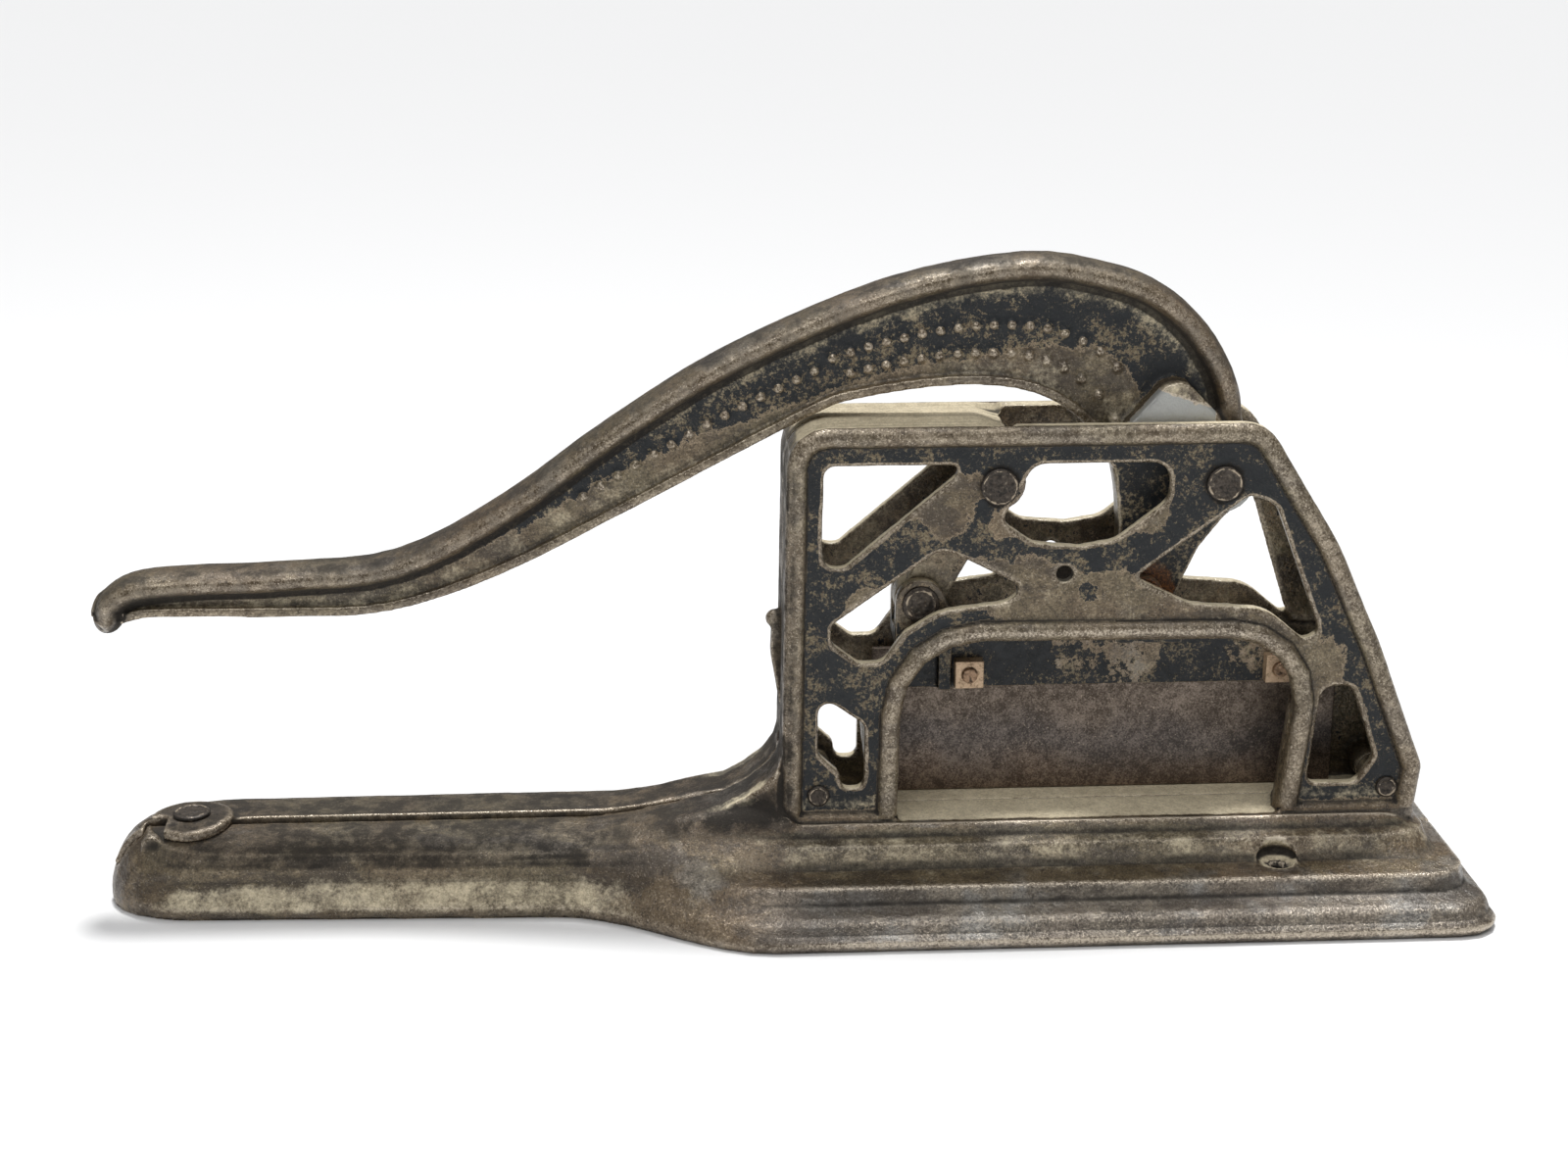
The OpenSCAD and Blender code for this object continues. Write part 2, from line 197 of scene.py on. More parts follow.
def modified(mesh, *steps):
    """mesh after a stack of modifiers, each given as (type, {setting: value})."""
    obj = linked("work", mesh)
    for kind, settings in steps:
        modifier = obj.modifiers.new(kind, kind)
        for key, value in settings.items():
            setattr(modifier, key, value)
    bpy.context.view_layer.update()
    graph = bpy.context.evaluated_depsgraph_get()
    result = bpy.data.meshes.new_from_object(obj.evaluated_get(graph))
    bpy.data.objects.remove(obj)
    return result


# ---- castings ----------------------------------------------------------------------

MARKS = ("paint", "dust", "rust", "dirt_and_shade", "wear_and_highlight", "khaki")
EDGE_ROUNDS, SWELL_ROUNDS = 6, 40              # smoothing that shows edges and wider swells
LUMP, SMALL_LUMP = 13, 4                       # widths of the unevenness of a cast surface
QUICK_VOXEL = 1.5                              # coarser meshes while working


def relief(mesh, rounds):
    """How far each point stands out of (+) or lies in (-) a smoothed copy, in millimetres."""
    smooth = modified(mesh.copy(), ("SMOOTH", {"factor": 0.5, "iterations": rounds}))
    return np.einsum("ij,ij->i", points_of(mesh) - points_of(smooth), normals_of(mesh)) / MM


def joined(node, extra):
    """Copy of a CAD node's mesh together with other closed meshes."""
    bm = bmesh.new()
    bm.from_mesh(NODES[node].data)
    bmesh.ops.remove_doubles(bm, verts=bm.verts, dist=1e-7)
    for mesh in extra:
        bm.from_mesh(mesh)
    return mesh_from(node, bm)


def casting(node, name, material, slot, voxel, rounds, keep, wave=0.1, shape=None, looks=None,
            extra=()):
    """A rounded and slightly uneven copy of a CAD node, with extra closed meshes fused on.
    voxel is its mesh size, rounds its smoothing, keep the share of faces that stays, and wave
    the height of its unevenness. Its marks say where its edges stand out and where it is hollow,
    which the materials use for wear, dirt, painted shade and painted highlights."""
    size = voxel * MM * (1 if FINE else QUICK_VOXEL)
    mesh = modified(joined(node, extra), ("REMESH", {"mode": "VOXEL", "voxel_size": size}),
                    ("SMOOTH", {"factor": 0.5, "iterations": rounds}))
    if shape:
        shape(mesh)
    mark(mesh, "edge", relief(mesh, EDGE_ROUNDS))
    mark(mesh, "swell", relief(mesh, SWELL_ROUNDS))
    for blank in MARKS:
        mark(mesh, blank, np.zeros(len(mesh.vertices)))
    if looks:
        looks(mesh)
    co = points_of(mesh)
    lumps = cloud(co, LUMP, 1) + 0.5 * cloud(co, SMALL_LUMP, 2)
    move_points(mesh, co + normals_of(mesh) * (lumps * wave * MM)[:, None])
    mesh = modified(mesh, ("DECIMATE", {"ratio": keep}))
    mesh.shade_smooth()
    mesh.materials.clear()
    mesh.materials.append(material)
    piece = linked(name, mesh)
    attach(piece, body_of(NODES[node])[0])
    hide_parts(node)
    return piece


# ---- side castings -----------------------------------------------------------------

BEAD_W = 6.5                                   # width of the beads on the side plates
BEAD_H = 2.6                                   # their height above the plate
TOUCHING = 0.05                                # distances below this count as none

# Base mouldings and the tail's mouldings: height above the ground, then how far the ridge
# stands out (+) or the cove goes in (-)
MOULDING = [(0, -0.3), (3.2, 0.5), (5.8, -0.6), (8.8, 0.6), (11.8, -1.0), (15.2, 1.1),
            (18.2, -1.3), (22.6, 1.0), (25.2, -0.5), (27, 0)]
TAIL_MOULDING = [(0, -0.6), (4.5, 0.5), (12.5, -0.7), (19, 0.5), (24, 0)]
# Distance from the seam, then how far the tail's top lies below it
TAIL_SLOPE = [(5, 0), (12, 1.0), (18, 2.4), (22, 3.2), (25, 2.6)]
REAR_SLOPE = 0.15                              # share of that slope on the rear half
# Distance from the middle and height of the lines along the roof
ROOF_LINES = [(0, -0.7), (5, 0.35), (9.5, -0.35), (12.8, -0.6)]
SWEEP_LIFT = 6.5                               # rise of the tail's top where it meets the frame
FLASHING = 0.6                                 # height of the line where the plates stand
SEAM_EDGE = 0.7                                # height of the rear half's raised edge
SLOT_DIP = 2.6                                 # dip of the roof at the lever's slot


def plate_face(node):
    """Search tree over the flat outer face of a side plate, between its beads, laid on Y = 0."""
    mesh = NODES[node].data
    co = points_of(mesh)
    flat = np.abs(np.abs(co[:, 1]) - PLATE * MM) < 0.02 * MM
    faces = [list(p.vertices) for p in mesh.polygons
             if flat[list(p.vertices)].all() and co[list(p.vertices), 2].min() > (BED - 4) * MM]
    return BVHTree.FromPolygons([Vector((x, 0, z)) for x, _, z in co], faces)


def roll_beads(co, face):
    """Gives the beads a half-round section. Their feet lie on the outline of the plate's face."""
    plate, half_w, bead_h = PLATE * MM, BEAD_W / 2 * MM, BEAD_H * MM
    side = np.sign(co[:, 1])
    height = np.abs(co[:, 1]) - plate
    raised = (height > TOUCHING * MM) & (height < 3 * MM) & (co[:, 2] > (BED + 1) * MM)
    for i in np.nonzero(raised)[0]:
        x, _, z = co[i]
        foot = face.find_nearest(Vector((x, 0, z)))[0]
        away = Vector((x - foot.x, z - foot.z))
        gone = away.length
        if gone < TOUCHING * MM:
            # Over the plate's face: the rounding that spilled out of the corner sinks back
            co[i, 1] = side[i] * (plate + 0.3 * height[i])
        elif gone < 2 * half_w + 1.5 * MM:
            across = (gone - half_w) / half_w
            up = height[i] / bead_h
            size = math.hypot(across, up)
            if size > 0.45:
                shift = (across / size - across) * half_w / gone
                co[i, 0] += away.x * shift
                co[i, 2] += away.y * shift
                co[i, 1] = side[i] * (plate + bead_h * up / size)
            else:
                # Too near the bead's middle to have a clear way out
                co[i, 1] = side[i] * (plate + bead_h)


def sculpt_side(face):
    def sculpt(mesh):
        co, up = points_of(mesh), normals_of(mesh)
        x, y, z, front = in_mm(co)
        outward = ramp(up[:, 1] * np.sign(co[:, 1]) + np.maximum(up[:, 0], 0), 0.05, 0.35)
        skin = outward * (ramp(y, 17, 19) + ramp(x, 203, 205))
        swell = profile(MOULDING, z) * ramp(x, -30, 10)
        swell += profile(TAIL_MOULDING, z) * fade(x, -60, -10)
        co += up * (swell * MM * np.clip(skin, 0, 1))[:, None]

        # The front half of the tail's top slopes away from the seam, and both halves sweep up
        # to the frame
        slope = profile(TAIL_SLOPE, y) * ramp(z, 12, 20)
        slope *= ramp(x, -222, -205) * fade(x, -70, -30)
        rise = -np.where(front, 1, REAR_SLOPE) * slope
        sweep = ramp(x, -66, -8) * fade(x, -5, 2) * fade(y, 15, 26)
        rise += SWEEP_LIFT * sweep * ramp(z, 12, 22) * fade(z, 42, 60)

        # Thin flashing line where the plates stand on the base
        line = ridge(y, PLATE_FOOT, 0.7) * near(z, BED, 0.8, 1.6)
        rise += FLASHING * line * ramp(x, -6, -2) * fade(x, 204, 208)

        # Raised edge of the rear half along the tail's seam
        seam = ridge(y, 0, 1.1) * near(z, REAR_SEAM, 0.7, 1.5)
        seam *= ramp(x, -184, -178) * fade(x, -75, -45)
        rise += SEAM_EDGE * seam * ((y < 0.2) | ~front)

        # Lines along the roof, which dips where the lever's slot opens
        roof = ramp(z, TOP - 3, TOP - 1) * ramp(up[:, 2], 0.6, 0.9) * (y < 14)
        for place, height in ROOF_LINES:
            rise += height * ridge(y, place, 0.9) * roof
        dip = ramp(x, SLOT - 10, SLOT) * fade(x, SLOT, SLOT + 2) * fade(y, 12, 18)
        rise -= SLOT_DIP * dip * ramp(z, TOP - 8, TOP - 4)

        co[:, 2] += rise * MM
        roll_beads(co, face)
        move_points(mesh, co)
    return sculpt


# ---- lever -------------------------------------------------------------------------

WEB_HALF = 3                                   # half the thickness of the lever's web
# Section of the flange's roll: depth of its middle, half its height, and how square it is
ROLL_DEPTH, ROLL_HEIGHT, ROLL_POWER = 4.0, 4.2, 2.2
FLANGE_LOWEST = 90                             # the flange stays above this height
# Middle of the handle's rounded end, its half sizes in X and Z, its tilt, and the way it points
TIP = Vector((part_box("lever")[0].x + 4.6 * MM, 0, 98.2 * MM))
TIP_HALF_X, TIP_HALF_Z = 5.2, 8
TIP_TILT = math.radians(20)
TIP_WAY = (0.28, 0.96)
# Rows of plain domes on the web: first and last place, and how far down the web they run
DOME_ROWS = [(-66, 112, 0.42), (18, 106, 0.74)]
DOME_R = 1.7
DOME_STEP = 5.6                                # from one dome to the next
SINGLE_ROW_END = 10                            # up to here there is one row, along the middle


def flange_top():
    """The lever's top in the XZ plane, as segments with their outward normals, from the CAD
    faces that reach right across the flange, and the flange's half width. In metres."""
    mesh = NODES["lever"].data
    co = points_of(mesh)
    half = np.abs(co[co[:, 2] > (CREST - 5) * MM, 1]).max()
    starts, ends, outward = [], [], []
    for polygon in mesh.polygons:
        corners = co[list(polygon.vertices)]
        reach = np.abs(corners[:, 1])
        if reach.min() < half - 0.05 * MM or reach.max() > half + 0.05 * MM:
            continue
        if corners[:, 1].min() > 0 or corners[:, 1].max() < 0:
            continue
        flat = np.unique(corners[:, [0, 2]].round(7), axis=0)
        if len(flat) == 2:
            starts.append(flat[0])
            ends.append(flat[1])
            outward.append((polygon.normal.x, polygon.normal.z))
    return np.array(starts), np.array(ends), np.array(outward), half


TOP_STARTS, TOP_ENDS, TOP_OUT, FLANGE_HALF = flange_top()


def below_top(co):
    """Depth of each point below the lever's top in millimetres, and the way out of it there."""
    flat = co[:, [0, 2]]
    run = TOP_ENDS - TOP_STARTS
    depth = np.full(len(co), 1.0)
    out = np.zeros((len(co), 2))
    for start, step, normal in zip(TOP_STARTS, run, TOP_OUT):
        along = np.clip((flat - start) @ step / (step @ step), 0, 1)
        away = flat - start - along[:, None] * step
        distance = np.hypot(away[:, 0], away[:, 1])
        nearer = distance < depth
        depth[nearer] = distance[nearer]
        inside = distance > MM
        direction = np.where(inside[:, None], -away / np.maximum(distance, 1e-9)[:, None], normal)
        out[nearer] = direction[nearer]
    return depth / MM, out


def handle_end():
    """Rounded end of the handle, as a closed mesh."""
    bm = bmesh.new()
    bmesh.ops.create_icosphere(bm, subdivisions=4, radius=1)
    half_sizes = (TIP_HALF_X * MM, FLANGE_HALF - 0.5 * MM, TIP_HALF_Z * MM)
    bmesh.ops.scale(bm, vec=half_sizes, verts=bm.verts)
    bmesh.ops.transform(bm, matrix=Matrix.Rotation(TIP_TILT, 4, "Y"), verts=bm.verts)
    bmesh.ops.translate(bm, vec=TIP, verts=bm.verts)
    return mesh_from("handle_end", bm)


def round_flange(mesh):
    """Turns the flange's square section into a thick roll, and narrows the handle's end."""
    co = points_of(mesh)
    depth, out = below_top(co)
    across = np.abs(co[:, 1]) / FLANGE_HALF
    up = (ROLL_DEPTH - depth) / ROLL_HEIGHT
    in_flange = (np.abs(up) < 1.1) & (across < 1.05) & (co[:, 2] > FLANGE_LOWEST * MM)
    clear_of_web = ramp(across, WEB_HALF * MM / FLANGE_HALF + 0.1, 0.6)
    clear_of_hub = 1 - around(co, LEVER_PIN, 16, 26)
    size = (across ** ROLL_POWER + np.abs(up) ** ROLL_POWER) ** (1 / ROLL_POWER)
    size = np.where(size > 0.5, size, 1)
    share = clear_of_hub * ramp(size, 0.7, 0.85) * np.where(up < 0, clear_of_web, 1)
    share = np.where(in_flange, share, 0)
    rise = (depth - ROLL_DEPTH + ROLL_HEIGHT * up / size) * share * MM
    co[:, 1] += (co[:, 1] / size - co[:, 1]) * share
    co[:, 0] += out[:, 0] * rise
    co[:, 2] += out[:, 1] * rise

    past = (TIP.x - co[:, 0]) * TIP_WAY[0] + (TIP.z + 4.6 * MM - co[:, 2]) * TIP_WAY[1]
    narrow = np.sqrt(1 - 0.95 * np.clip(past / (12 * MM), 0, 1) ** 2) - 1
    co[:, 1] *= 1 + narrow * fade((co[:, 0] - TIP.x) / MM, 5, 10)
    move_points(mesh, co)


def dome(place):
    """Small plain dome, as a closed mesh."""
    bm = bmesh.new()
    bmesh.ops.create_icosphere(bm, subdivisions=2, radius=DOME_R * MM)
    bmesh.ops.scale(bm, vec=(1, 0.8, 1), verts=bm.verts)
    bmesh.ops.translate(bm, vec=place, verts=bm.verts)
    return mesh_from("dome", bm)


def dome_rows():
    """Rows of domes along both faces of the lever's web."""
    tree = BVHTree.FromObject(NODES["lever"], bpy.context.evaluated_depsgraph_get())
    web = (WEB_HALF + 0.1) * MM
    rows = []
    for first, last, share in DOME_ROWS:
        for x in np.arange(first, last, DOME_STEP) * MM:
            top = tree.ray_cast(Vector((x, 0, (CREST + 1) * MM)), Vector((0, 0, -1)))[0]
            low = tree.ray_cast(Vector((x, 0, 80 * MM)), Vector((0, 0, 1)))[0]
            if low.z > top.z - 12 * MM:
                continue
            high = top.z - 9.5 * MM
            down = share if x > SINGLE_ROW_END * MM else 0.5
            z = high + (low.z + 3 * MM - high) * down
            rows += [dome((x, side * web, z)) for side in (-1, 1)]
    return rows


# ---- rivet and screw heads ---------------------------------------------------------

ACROSS, UPWARD = 1, 2                          # the axis that a rivet lies along
RING_W = 0.4
# Rivet heads: axis, radius, radius of the raised ring, and height of the dome
RIVETS = {
    "lever_pin": (ACROSS, 5.8, 5.0, 0.1),
    "link_pin": (ACROSS, 6, 5.2, 0.1),
    "lever_carrier_pin": (ACROSS, 6, 4.6, 0.3),
    "link_carrier_pin": (ACROSS, 6, 4.6, 0.3),
    "lower_left_rivet": (ACROSS, 3.6, 2.7, 0.15),
    "lower_right_rivet": (ACROSS, 3.6, 2.7, 0.15),
    "tail_rivet": (UPWARD, 6, 5, 0.2),
}
SCREW_HEAD = (ACROSS, 4.5, 3.6, 0.3)


def from_axis(co, centre, axis):
    """Distance of each point from a rivet's axis, in millimetres."""
    flat = np.delete(co - np.array(centre), axis, axis=1)
    return np.hypot(flat[:, 0], flat[:, 1]) / MM


def hammered(node, axis, radius, ring, height):
    """Gives a rivet's heads a raised ring and a dented face."""
    centre = middle(node)

    def shape(mesh):
        co, up = points_of(mesh), normals_of(mesh)
        away = from_axis(co, centre, axis)
        out = np.sign(co[:, axis] - centre[axis])
        head = ramp(up[:, axis] * out, 0.5, 0.9) * (away < radius)
        rise = height * (1 - (away / radius) ** 2) + 0.3 * ridge(away, ring, RING_W)
        rise += 0.24 * cloud(co, 1.8, 9) * (away < ring)
        co[:, axis] += out * head * rise * MM
        move_points(mesh, co)
    return shape


def head_marks(node, axis, radius, ring):
    """Patchy wear on a rivet's ring, lightened there also as a painted highlight, dirt in its
    dents, and painted shade around its edge.
    """
    centre = middle(node)

    def marks(mesh):
        co = points_of(mesh)
        away = from_axis(co, centre, axis)
        patches = cloud(co, 2.2, 12)
        rubbed_and_lit = ridge(away, ring, RING_W) * ramp(patches, -0.5, 0.2)
        mark(mesh, "wear_and_highlight", 0.65 * rubbed_and_lit + 0.3 * ramp(patches, 0.1, 0.5))
        dents = fade(patches, -0.5, 0) * fade(away, ring - 1, ring - 0.2)
        mark(mesh, "dirt_and_shade", 0.2 * ramp(away, radius - 0.45, radius - 0.1) + 0.14 * dents)
    return marks


def riveted(node, name, material, slot, head, **settings):
    """A casting with hammered heads."""
    axis, radius, ring, height = head
    casting(node, name, material, slot, rounds=2, keep=0.6,
            shape=hammered(node, axis, radius, ring, height),
            looks=head_marks(node, axis, radius, ring), **settings)


# ---- materials ---------------------------------------------------------------------

class Shader:
    """Builds one material's nodes. Places are in the object's own space, in metres, and the
    sizes given to grain and bump are in millimetres."""

    def __init__(self, name):
        self.material = bpy.data.materials.new(name)
        self.material.use_nodes = True
        self.tree = self.material.node_tree
        self.surface = self.tree.nodes["Principled BSDF"]
        self.place = self.add("ShaderNodeTexCoord").outputs["Object"]

    def add(self, kind, **settings):
        node = self.tree.nodes.new(kind)
        for key, value in settings.items():
            setattr(node, key, value)
        return node

    def put(self, socket, value):
        if isinstance(value, bpy.types.NodeSocket):
            self.tree.links.new(value, socket)
        else:
            socket.default_value = value

    def math(self, operation, a, b):
        node = self.add("ShaderNodeMath", operation=operation)
        self.put(node.inputs[0], a)
        self.put(node.inputs[1], b)
        return node.outputs[0]

    def plus(self, first, *others):
        for other in others:
            first = self.math("ADD", first, other)
        return first

    def times(self, a, b):
        return self.math("MULTIPLY", a, b)

    def weighted(self, *shares):
        """Sum of (value, share) pairs."""
        return self.plus(*(self.times(value, share) for value, share in shares))

    def spread(self, value, amount):
        """A noise moved to lie around 0, times amount."""
        return self.times(self.plus(value, -0.5), amount)

    def grain(self, size, detail=3.0, rough=0.6, stretch=(1, 1, 1)):
        """Noise from 0 to 1 with lumps about size wide."""
        place = self.place
        if stretch != (1, 1, 1):
            scaled = self.add("ShaderNodeVectorMath", operation="MULTIPLY")
            self.put(scaled.inputs[0], place)
            scaled.inputs[1].default_value = stretch
            place = scaled.outputs[0]
        node = self.add("ShaderNodeTexNoise")
        self.put(node.inputs["Vector"], place)
        node.inputs["Scale"].default_value = 1 / (size * MM)
        node.inputs["Detail"].default_value = detail
        node.inputs["Roughness"].default_value = rough
        return node.outputs["Fac"]

    def mark(self, name):
        return self.add("ShaderNodeAttribute", attribute_name=name).outputs["Fac"]

    def step(self, value, low, high, out_low=0.0, out_high=1.0):
        """out_low where value is low, out_high where it is high, and smooth between them."""
        node = self.add("ShaderNodeMapRange", interpolation_type="SMOOTHSTEP")
        self.put(node.inputs["Value"], value)
        node.inputs["From Min"].default_value = low
        node.inputs["From Max"].default_value = high
        node.inputs["To Min"].default_value = out_low
        node.inputs["To Max"].default_value = out_high
        return node.outputs["Result"]

    def mix(self, share, a, b):
        """Colour between a and b."""
        node = self.add("ShaderNodeMix", data_type="RGBA")
        self.put(node.inputs["Factor"], share)
        self.put(node.inputs["A"], a if isinstance(a, bpy.types.NodeSocket) else (*a, 1))
        self.put(node.inputs["B"], b if isinstance(b, bpy.types.NodeSocket) else (*b, 1))
        return node.outputs["Result"]

    def blend(self, share, a, b):
        """Number between a and b."""
        node = self.add("ShaderNodeMix", data_type="FLOAT")
        self.put(node.inputs["Factor"], share)
        self.put(node.inputs["A"], a)
        self.put(node.inputs["B"], b)
        return node.outputs["Result"]

    def bump(self, height, depth, under=None):
        node = self.add("ShaderNodeBump")
        node.inputs["Strength"].default_value = 1.0
        node.inputs["Distance"].default_value = depth * MM
        self.put(node.inputs["Height"], height)
        if under is not None:
            self.put(node.inputs["Normal"], under)
        return node.outputs["Normal"]

    def done(self, color, rough, metal, normal, specular=0.5):
        self.put(self.surface.inputs["Base Color"], color)
        self.put(self.surface.inputs["Roughness"], rough)
        self.put(self.surface.inputs["Metallic"], metal)
        self.put(self.surface.inputs["Normal"], normal)
        self.put(self.surface.inputs["Specular IOR Level"], specular)
        return self.material


BARE_DARK = (0.030, 0.021, 0.014)
BARE_MID = (0.128, 0.088, 0.050)
BARE_LIGHT = (0.345, 0.262, 0.166)
# Greys of the painted sheen on bare iron; COOL also tints polished iron
COOL = (0.340, 0.340, 0.325)
COOL_DARK = (0.100, 0.097, 0.092)
SILVER = (0.360, 0.365, 0.345)
KHAKI_MID = (0.270, 0.220, 0.130)
KHAKI_DARK = (0.062, 0.050, 0.028)
POWDER = (0.850, 0.745, 0.530)
POWDER_MID = (0.540, 0.460, 0.310)
STAIN = (0.036, 0.026, 0.018)
PAINT = (0.0075, 0.0095, 0.0115)
PAINT_DUSTY = (0.075, 0.071, 0.058)
RUST = (0.340, 0.130, 0.035)
RUST_DARK = (0.080, 0.036, 0.016)
# Tan of bright wear, also used for painted highlights and glints
BRIGHT_WEAR_AND_HIGHLIGHT = (0.640, 0.550, 0.430)
# Near black of dirt, also used for painted shade in creases and hollows
SOOT_AND_SHADE = (0.014, 0.011, 0.008)

# Darker and lighter colour of the blade where it is brown, bluish and reddish
BLADE_BROWN = ((0.070, 0.053, 0.040), (0.250, 0.200, 0.160))
BLADE_BLUE = ((0.058, 0.049, 0.045), (0.195, 0.163, 0.142))
BLADE_RED = ((0.085, 0.061, 0.046), (0.290, 0.222, 0.172))
BLADE_SPECKLE = (0.480, 0.390, 0.300)

# Dark, middle and light colour of the handled metals
RIVET_BROWN = ((0.014, 0.012, 0.010), (0.060, 0.047, 0.036), (0.330, 0.270, 0.195))
SCREW_BROWN = ((0.130, 0.080, 0.048), (0.380, 0.250, 0.160), (0.600, 0.430, 0.290))
NUT_COPPER = ((0.240, 0.155, 0.092), (0.600, 0.430, 0.280), (0.820, 0.640, 0.450))


def iron_grains(s):
    """The noises that cast iron's colours share, from the finest to the widest."""
    g = SimpleNamespace(
        tiny=s.grain(0.45, 2, 0.5), fine=s.grain(0.75, 3, 0.7), specks=s.grain(1.4, 6, 0.8),
        pebble=s.grain(1.7, 2, 0.5), small=s.grain(2.6, 4, 0.7), chips=s.grain(4, 9, 0.72),
        medium=s.grain(9, 5, 0.65), stain=s.grain(17, 6, 0.7, (0.45, 1, 1)),
        grey=s.grain(24, 4, 0.6), large=s.grain(40, 3, 0.5), glint=s.grain(0.6, 2, 0.5))
    g.tone = s.weighted((g.fine, 0.45), (g.tiny, 0.2), (g.small, 0.35), (g.medium, 0.25))
    g.hollow = s.step(s.mark("swell"), -0.05, -0.5)
    g.crest = s.step(s.mark("swell"), 0.08, 0.5)
    return g


def bare_iron(s, g):
    """Brown patina with a sandy grain, greener in places, with a painted grey sheen in places,
    painted shade in its hollows, crests lightened by wear and a painted highlight, and painted
    glints.
    """
    bare = s.mix(s.step(g.tone, 0.48, 0.62), BARE_DARK, BARE_MID)
    bare = s.mix(s.step(g.tone, 0.62, 0.80), bare, BARE_LIGHT)
    khaki = s.mark("khaki")
    greener = s.weighted((s.step(g.large, 0.42, 0.60), 0.5), (khaki, 0.5))
    olive = s.mix(s.step(g.tone, 0.52, 0.80), KHAKI_DARK, KHAKI_MID)
    bare = s.mix(s.math("MINIMUM", greener, 0.9), bare, olive)
    # Painted sheen: pale grey patches, more of them on the base where the khaki mark is below 0
    sheen_share = s.weighted((s.step(g.grey, 0.50, 0.64), 0.4), (khaki, -1.0))
    painted_sheen = s.mix(s.step(g.tone, 0.50, 0.70), COOL_DARK, COOL)
    bare = s.mix(s.math("MAXIMUM", sheen_share, 0.0), bare, painted_sheen)
    bare = s.mix(s.times(s.step(g.stain, 0.49, 0.58), 0.65), bare, STAIN)
    # Painted shade: hollows darkened towards soot and dark khaki
    grime_and_shade = s.mix(s.step(g.small, 0.35, 0.65), SOOT_AND_SHADE, KHAKI_DARK)
    bare = s.mix(s.times(g.hollow, 0.6), bare, grime_and_shade)
    # Crests lightened: partly wear, partly a painted highlight
    rubbed_and_lit = s.mix(s.step(g.tone, 0.54, 0.72), BARE_MID, BRIGHT_WEAR_AND_HIGHLIGHT)
    bare = s.mix(s.times(g.crest, 0.45), bare, rubbed_and_lit)
    # Painted glints: tiny bright specks, more of them on crests
    glint = s.times(s.step(g.glint, 0.63, 0.68), s.plus(s.times(g.crest, 0.5), 0.25))
    return s.mix(glint, bare, BRIGHT_WEAR_AND_HIGHLIGHT)


def dusting(s, g):
    """Where dust lies: in hollows and on faces that look up."""
    lies = s.plus(s.mark("dust"), s.spread(g.medium, 0.9), s.spread(g.specks, 0.8))
    return s.times(s.step(lies, 0.30, 0.80), s.step(s.mark("dust"), 0.02, 0.12))


def paint_cover(s, g):
    """Where paint holds, chipped along a ragged line, and the bright lip along that line."""
    cover = s.plus(s.mark("paint"), s.spread(g.chips, 1.6), s.spread(g.fine, 0.35),
                   s.times(s.step(s.mark("edge"), 0.02, 0.16), -0.8),
                   s.times(s.step(s.mark("swell"), 0.10, 0.60), -0.45))
    paint = s.times(s.step(cover, 0.485, 0.515), s.step(s.mark("paint"), 0.02, 0.08))
    lip = s.times(s.step(cover, 0.38, 0.475), s.step(cover, 0.52, 0.485))
    return paint, lip


def paint_film(s, g, dust, powder):
    """Black paint, speckled with what sticks to it."""
    speck = s.step(s.plus(g.specks, s.spread(g.medium, 0.7)), 0.55, 0.60)
    stuck = s.mix(s.step(g.fine, 0.4, 0.6), BARE_MID, KHAKI_MID)
    film = s.mix(s.step(g.tone, 0.62, 0.82), PAINT, PAINT_DUSTY)
    film = s.mix(s.times(speck, 0.8), film, stuck)
    return s.mix(s.times(dust, 0.75), film, powder)


